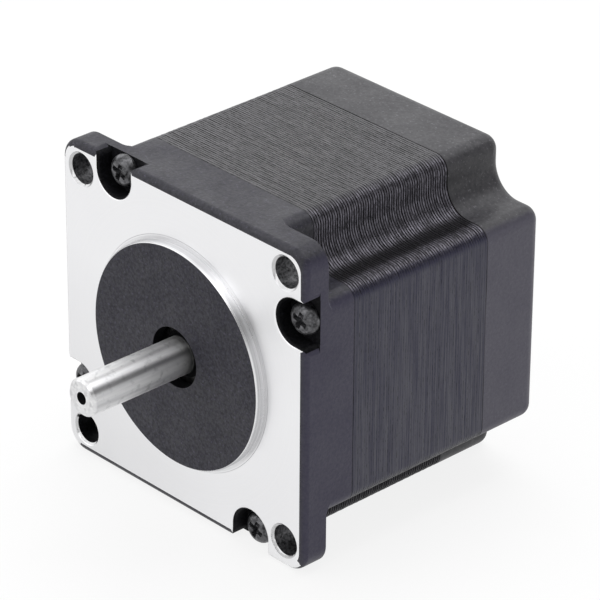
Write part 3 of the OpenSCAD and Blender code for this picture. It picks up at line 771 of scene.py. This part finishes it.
def on_section_wall(point):
    """True if a point lies on the outside wall of the notched section."""
    far, near = folded(point)
    corner = (HALF_WIDTH - SECTION_CORNER_RADIUS, ARM_HALF_WIDTH - SECTION_CORNER_RADIUS)
    if abs(far - HALF_WIDTH) < NEAR:
        return True
    if abs(near - ARM_HALF_WIDTH) < NEAR and far > NOTCH_ROOT_CENTRE - NEAR:
        return True
    if far > corner[0] - NEAR and near > corner[1] - NEAR:
        if abs(math.hypot(far - corner[0], near - corner[1]) - SECTION_CORNER_RADIUS) < NEAR:
            return True
    return abs(math.hypot(far - NOTCH_ROOT_CENTRE, near - NOTCH_ROOT_CENTRE) - NOTCH_ROOT_RADIUS) < NEAR


def wall_direction(vertex):
    """The direction square to the wall at one of its vertices."""
    return Vector((vertex.normal.x, 0.0, vertex.normal.z)).normalized()


def groove_depth(point):
    """How deep the joints are at a place on the wall: paint fills them on the two broad sides."""
    filled = clamp((abs(point.x) - HALF_WIDTH + SECTION_CORNER_RADIUS) / SECTION_CORNER_RADIUS) ** 2
    notched = clamp((folded(point)[1] - ARM_HALF_WIDTH) / SECTION_CORNER_RADIUS + 1.0)
    return GROOVE_DEPTH * (1.0 - (1.0 - FILLED_GROOVE) * filled + NOTCH_GROOVE * notched)


def split_off_wall(piece):
    """Moves the stack's outside wall in to the bottom of its grooves, and makes it a piece."""
    mesh = piece.data
    outward = {v.index: wall_direction(v) for v in mesh.vertices if on_section_wall(v.co)}
    unselect(mesh)
    for face in mesh.polygons:
        on_wall = all(index in outward for index in face.vertices)
        face.select = on_wall and abs(face.normal.y) < STACK_WALL
    for index, direction in outward.items():
        mesh.vertices[index].co -= direction * groove_depth(mesh.vertices[index].co)
    bpy.ops.object.mode_set(mode="EDIT")
    bpy.ops.mesh.select_mode(type="FACE")
    bpy.ops.mesh.separate(type="SELECTED")
    bpy.ops.object.mode_set(mode="OBJECT")
    return next(other for other in bpy.context.selected_objects if other != piece)


def cut_into_rings(wall):
    """Shortens the wall to that of the first sheet, and cuts it into rings."""
    only(wall)
    for vertex in wall.data.vertices:
        in_front = vertex.co.y < STACK_BACK - SHEET_PITCH
        vertex.co.y = STACK_FRONT if in_front else STACK_FRONT + SHEET_PITCH
    unselect(wall.data)
    for edge in wall.data.edges:
        front, back = ends_of(wall.data, edge)
        edge.select = abs(front.y - back.y) > 0.5 * SHEET_PITCH
    bpy.ops.object.mode_set(mode="EDIT")
    bpy.ops.mesh.select_mode(type="EDGE")
    bpy.ops.mesh.subdivide(number_cuts=len(SHEET_RINGS) - 1)
    bpy.ops.object.mode_set(mode="OBJECT")


def repeat_along_stack(wall):
    """Repeats the first sheet's wall for all sheets."""
    sheets = wall.modifiers.new("sheets", "ARRAY")
    sheets.count = SHEET_COUNT
    sheets.use_relative_offset = False
    sheets.use_constant_offset = True
    sheets.constant_offset_displace = (0.0, SHEET_PITCH, 0.0)
    sheets.use_merge_vertices = True
    sheets.merge_threshold = SHEET_MERGE
    bpy.ops.object.modifier_apply(modifier=sheets.name)


def round_sheets(wall):
    """Rounds each sheet's edge, and sets it a little in or out of its neighbours, with a small lean."""
    chance = random.Random(SHEET_SEED)
    steps = [chance.random() * SHEET_STEP for _ in range(SHEET_COUNT)]
    leans = [chance.uniform(-0.5, 0.5) * SHEET_LEAN for _ in range(SHEET_COUNT)]
    directions = [wall_direction(vertex) for vertex in wall.data.vertices]
    for vertex, direction in zip(wall.data.vertices, directions):
        ring = round((vertex.co.y - STACK_FRONT) / SHEET_PITCH * len(SHEET_RINGS))
        sheet, ring_in_sheet = divmod(ring, len(SHEET_RINGS))
        if ring_in_sheet:
            along, drop = SHEET_RINGS[ring_in_sheet]
            lean = leans[sheet] * (along - 0.5)
            depth = groove_depth(vertex.co + direction * GROOVE_DEPTH)
            sunk = steps[sheet] + abs(lean) * 0.5 - lean
            vertex.co += direction * (depth * (1.0 - drop) - sunk * depth / GROOVE_DEPTH)
            vertex.co.y = STACK_FRONT + (sheet + along) * SHEET_PITCH
    wall.data.update()


def make_stack():
    """The stack with a groove at each joint: one sheet's wall is made once and repeated."""
    piece = merged_copy("stator_stack", "ribbed_stack", [sheet_edges])
    wall = split_off_wall(piece)
    cut_into_rings(wall)
    repeat_along_stack(wall)
    round_sheets(wall)
    only(piece)
    wall.select_set(True)
    bpy.ops.object.join()
    bpy.ops.object.mode_set(mode="EDIT")
    bpy.ops.mesh.select_all(action="SELECT")
    bpy.ops.mesh.remove_doubles(threshold=SHEET_MERGE)
    bpy.ops.object.mode_set(mode="OBJECT")
    bpy.ops.object.shade_smooth_by_angle(angle=math.radians(SHEET_SMOOTH_WITHIN))
    stand_for(piece, "stator_stack")


# The front cover

def from_each_edge(point):
    """A place on the flange as each of its four edges has it: how far along the edge, and how far out."""
    return (point.x, point.z), (-point.z, point.x), (-point.x, -point.z), (point.z, -point.x)


def beside_a_mouth(point):
    """True near the corners of the screw pockets' mouths."""
    for along, out in from_each_edge(point):
        aside = abs(along + SCREW_ALONG) - POCKET_RADIUS
        if math.hypot(aside, out - HALF_WIDTH) < MOUTH_ROOM and point.y < POCKET_FLOOR + NEAR:
            return True
    return False


def from_pocket(point):
    """The distance of a place on the flange from the middle of the nearest screw pocket."""
    distances = []
    for along, out in from_each_edge(point):
        aside, beyond = along + SCREW_ALONG, out - SCREW_OUT
        distances.append(math.hypot(aside, min(beyond, 0.0)) if beyond > -HALF_WIDTH else math.inf)
    return min(distances)


def cut_away(piece, cutter):
    """Takes one solid's room out of another, and removes the cutter."""
    only(piece)
    cut = piece.modifiers.new("cut", "BOOLEAN")
    cut.operation = "DIFFERENCE"
    cut.solver = "EXACT"
    cut.object = cutter
    bpy.ops.object.modifier_apply(modifier=cut.name)
    bpy.data.objects.remove(cutter)


def round_mouths(piece):
    """Rounds the two corners of each screw pocket's mouth in the flange's outside edge."""
    # The cutters end just short of the flange's own walls, which keeps the cuts clean
    beyond = 0.5 * MM
    reach = MOUTH_RADIUS - 0.01 * MM
    deep = POCKET_FLOOR - 0.05 * MM
    size = (reach + beyond, deep + beyond, reach + beyond)
    for quarter in range(4):
        turn = Matrix.Rotation(quarter * math.pi / 2.0, 3, "Y")
        for side in (-1.0, 1.0):
            corner = Vector((side * POCKET_RADIUS - SCREW_ALONG, (deep - beyond) / 2.0, HALF_WIDTH))
            inward = Vector((side, 0.0, -1.0))
            block_at = turn @ (corner + inward * (reach - beyond) / 2.0)
            bpy.ops.mesh.primitive_cube_add(size=1.0, location=block_at, scale=size)
            block = bpy.context.active_object
            bpy.ops.mesh.primitive_cylinder_add(
                vertices=MOUTH_VERTICES, radius=MOUTH_RADIUS, depth=3.0 * POCKET_FLOOR,
                location=turn @ (corner + inward * reach), rotation=(math.pi / 2.0, 0.0, 0.0))
            cut_away(block, bpy.context.active_object)
            cut_away(piece, block)


def runs_onto_rounding(point):
    """True where bare metal, partly a painted reflection, runs onto the rounding of the flange's edge: on
    the left and lower right.
    """
    on_left = min(1.0, (ROUNDING_REACH - FACE_HALF_WIDTH - point.x) / LEFT_TAPER)
    low_down = max(LEAST_SHARE, min(1.0, MIDDLE_SHARE - point.z / DOWN_TAPER))
    if abs(point.y) < FACED_DEPTH * on_left * low_down:
        return True
    bright_corner = SCREW_ALONG < point.x < FACE_HALF_WIDTH and point.z < CORNER_METAL_REACH - FACE_HALF_WIDTH
    return bright_corner and abs(point.y) < CORNER_METAL_DEPTH


def on_turned_face(face, to_hole, to_pocket):
    """True if a face of the front cover is bare metal, turned along with the mounting face."""
    centre = face.center
    if abs(centre.y) < FLAT_MARGIN and face.normal.y < STRAIGHT_AHEAD:
        return True
    on_lip = POCKET_RADIUS + DARK_LIP < to_pocket < POCKET_RIM
    if on_lip and centre.y < POCKET_LIP and face.normal.y < BARELY_AHEAD:
        return True
    on_rounding = face.normal.y < HALF_AHEAD and folded(centre)[0] > FACE_HALF_WIDTH - ROUNDING_REACH
    clear = to_pocket > POCKET_RIM and to_hole > HOLE_RIM + HOLE_CLEARANCE
    return on_rounding and clear and runs_onto_rounding(centre)


def front_cover_finish(face):
    """The finish that a face of the front cover has."""
    centre = face.center
    radius = math.hypot(centre.x, centre.z)
    to_hole = math.hypot(abs(centre.x) - HOLE_PLACE, abs(centre.z) - HOLE_PLACE)
    to_pocket = from_pocket(centre)
    if on_turned_face(face, to_hole, to_pocket):
        return faced_metal
    on_boss_wall = abs(radius - BOSS_RADIUS) < BOSS_WALL_MARGIN
    if on_boss_wall and -BOSS_HEIGHT + NEAR < centre.y < BOSS_FOOT_MARGIN:
        return wall_metal
    if to_hole < HOLE_RIM + CHAMFER_MARGIN and centre.y < HOLE_CHAMFER + CHAMFER_DEPTH_MARGIN:
        return wall_metal
    if abs(to_hole - HOLE_RADIUS) < BORE_MARGIN and abs(face.normal.y) < BORE_WALL:
        # Painted shade: the lower left bore is black, the others show cast metal
        lower_left = centre.x < 0.0 and centre.z < 0.0
        return recess_paint_and_shade if lower_left else cast_bore
    if radius < SHAFT_HOLE_RADIUS + NEAR and centre.y > -BOSS_HEIGHT + BORE_MARGIN:
        return recess_paint_and_shade
    if to_pocket < POCKET_RADIUS + 0.9 * POCKET_LIP and NEAR < centre.y < POCKET_FLOOR + NEAR:
        return recess_paint_and_shade
    if centre.y < -BOSS_HEIGHT + BOSS_FRONT_MARGIN and face.normal.y < STRAIGHT_AHEAD:
        return boss_paint
    return paint


def make_front_cover():
    """The front cover: paint all over, but for its turned face, the boss's wall and the holes."""
    finishes = [paint, faced_metal, wall_metal, recess_paint_and_shade, cast_bore, boss_paint]
    piece = merged_copy("front_cover", "finished_front_cover", finishes)
    round_mouths(piece)
    round_edges(piece, COVER_EDGE, COVER_SHARP, beside_a_mouth)
    for face in piece.data.polygons:
        face.material_index = finishes.index(front_cover_finish(face))
    stand_for(piece, "front_cover")


make_stack()
make_front_cover()
soften("rear_cover", "finished_rear_cover", rear_paint, REAR_EDGE, COVER_SHARP)
soften("assembly_screws", "tumbled_assembly_screws", black_oxide, SCREW_EDGE, SCREW_SHARP)


# Floor, light and camera

FLOOR_SIZE = 6.0
FLOOR_GREY = (0.86, 0.86, 0.86)
FLOOR_DARK = (0.85, 0.85, 0.85)
FLOOR_LIGHT = (0.87, 0.87, 0.87)

# The share of plain white in what the camera sees of the floor near the motor, and the distances
# between which it grows to all of it
FLOOR_WHITE = 0.85
FADE_FROM = 60.0 * MM
FADE_TO = 260.0 * MM

# The world's strength as a light, and as the camera sees it
ROOM_LIGHT = 0.5
PLAIN_WHITE = 1.0

# Strips of the world that run along the shaft, seen only in reflections: from and to what height
# above the right-hand side in degrees, how soft their ends are, and how bright they are
REFLECTED_STRIPS = ((118.0, 165.0, 8.0, 1.62), (30.0, 46.0, 14.0, 0.3), (70.0, 88.0, 12.0, 2.2))

# The camera fitted to the photograph: place, line of sight, roll in degrees, and lens in millimetres
CAMERA_AT = (0.41449, -0.36573, 0.30852)
CAMERA_LOOKS = (-0.63981, 0.60364, -0.47566)
CAMERA_ROLL = 0.398
FOCAL_LENGTH = 242.72
SENSOR_WIDTH = 36.0
NEAREST_SEEN = 0.01

LAMPS_AIM_AT = (0.0, 0.02, 0.0)


def make_floor():
    """A pale floor: lamps light it and shade it, and it shows mostly white."""
    bpy.ops.object.select_all(action="DESELECT")
    bpy.ops.mesh.primitive_plane_add(size=FLOOR_SIZE, location=(0.0, 0.0, cad_box[0][2] - NEAR))
    floor = bpy.context.active_object
    floor.name = "floor"
    material, tree, shader = new_finish("pale_floor", FLOOR_GREY, metallic=0.0, roughness=0.7)
    cloud = grain(tree, place(tree), scale=3.0, detail=1.0)
    feed(tree, shader.inputs["Base Color"], blend_tones(tree, cloud, FLOOR_DARK, FLOOR_LIGHT))
    white = tree.nodes.new("ShaderNodeEmission")
    white.inputs["Strength"].default_value = PLAIN_WHITE
    path = tree.nodes.new("ShaderNodeLightPath")
    shown = larger(tree, path.outputs["Is Camera Ray"], path.outputs["Is Glossy Ray"])
    shown = larger(tree, shown, path.outputs["Is Transmission Ray"])
    distance = distance_from(tree, place(tree))
    whiteness = spread(tree, distance, FADE_FROM, FADE_TO, FLOOR_WHITE, 1.0)
    mix = tree.nodes.new("ShaderNodeMixShader")
    feed(tree, mix.inputs["Fac"], product(tree, shown, whiteness))
    tree.links.new(shader.outputs["BSDF"], mix.inputs[1])
    tree.links.new(white.outputs["Emission"], mix.inputs[2])
    output = next(node for node in tree.nodes if node.type == "OUTPUT_MATERIAL")
    tree.links.new(mix.outputs["Shader"], output.inputs["Surface"])
    floor.data.materials.append(material)


def make_world():
    """Even light from all round, white to the camera; reflections show bright and dark strips overhead."""
    world = bpy.data.worlds.new("studio")
    bpy.context.scene.world = world
    world.use_nodes = True
    tree = world.node_tree
    tree.nodes.clear()
    output = tree.nodes.new("ShaderNodeOutputWorld")
    path = tree.nodes.new("ShaderNodeLightPath")
    across, _, height = axes(tree, "Generated")
    angle = product(tree, calculate(tree, "ARCTAN2", height, across), 180.0 / math.pi)
    strength = PLAIN_WHITE
    for low, high, soft, level in REFLECTED_STRIPS:
        strength = blend_values(tree, band(tree, angle, low, high, soft), strength, level)
    strength = blend_values(tree, path.outputs["Is Glossy Ray"], ROOM_LIGHT, strength)
    direct = larger(tree, path.outputs["Is Camera Ray"], path.outputs["Is Transmission Ray"])
    strength = blend_values(tree, direct, strength, PLAIN_WHITE)
    light = tree.nodes.new("ShaderNodeBackground")
    light.inputs["Color"].default_value = (1.0, 1.0, 1.0, 1.0)
    feed(tree, light.inputs["Strength"], strength)
    tree.links.new(light.outputs["Background"], output.inputs["Surface"])


def add_softbox(name, place_at, size, power):
    """A square lamp that faces the motor."""
    lamp = bpy.data.lights.new(name, "AREA")
    lamp.shape = "SQUARE"
    lamp.size = size
    lamp.energy = power
    softbox = bpy.data.objects.new(name, lamp)
    bpy.context.scene.collection.objects.link(softbox)
    softbox.location = place_at
    softbox.visible_glossy = False
    aim = Vector(LAMPS_AIM_AT) - Vector(place_at)
    softbox.rotation_euler = aim.to_track_quat("-Z", "Y").to_euler()


def make_camera():
    """The camera, turned about its line of sight by its roll."""
    forward = Vector(CAMERA_LOOKS).normalized()
    roll = math.radians(CAMERA_ROLL)
    level_right = forward.cross(Vector((0.0, 0.0, 1.0))).normalized()
    level_up = level_right.cross(forward)
    right = level_right * math.cos(roll) + level_up * math.sin(roll)
    up = right.cross(forward)
    lens = bpy.data.cameras.new("camera")
    lens.lens = FOCAL_LENGTH
    lens.sensor_width = SENSOR_WIDTH
    lens.sensor_fit = "HORIZONTAL"
    lens.clip_start = NEAREST_SEEN
    camera = bpy.data.objects.new("camera", lens)
    bpy.context.scene.collection.objects.link(camera)
    turn = Matrix((right, up, -forward)).transposed().to_4x4()
    camera.matrix_world = Matrix.Translation(Vector(CAMERA_AT)) @ turn
    bpy.context.scene.camera = camera


make_floor()
make_world()
add_softbox("overhead_softbox", place_at=(-0.12, 0.22, 0.62), size=0.55, power=4.0)
add_softbox("front_softbox", place_at=(-0.4, -0.55, 0.3), size=0.5, power=1.5)
make_camera()
bpy.context.scene.view_settings.view_transform = "Standard"
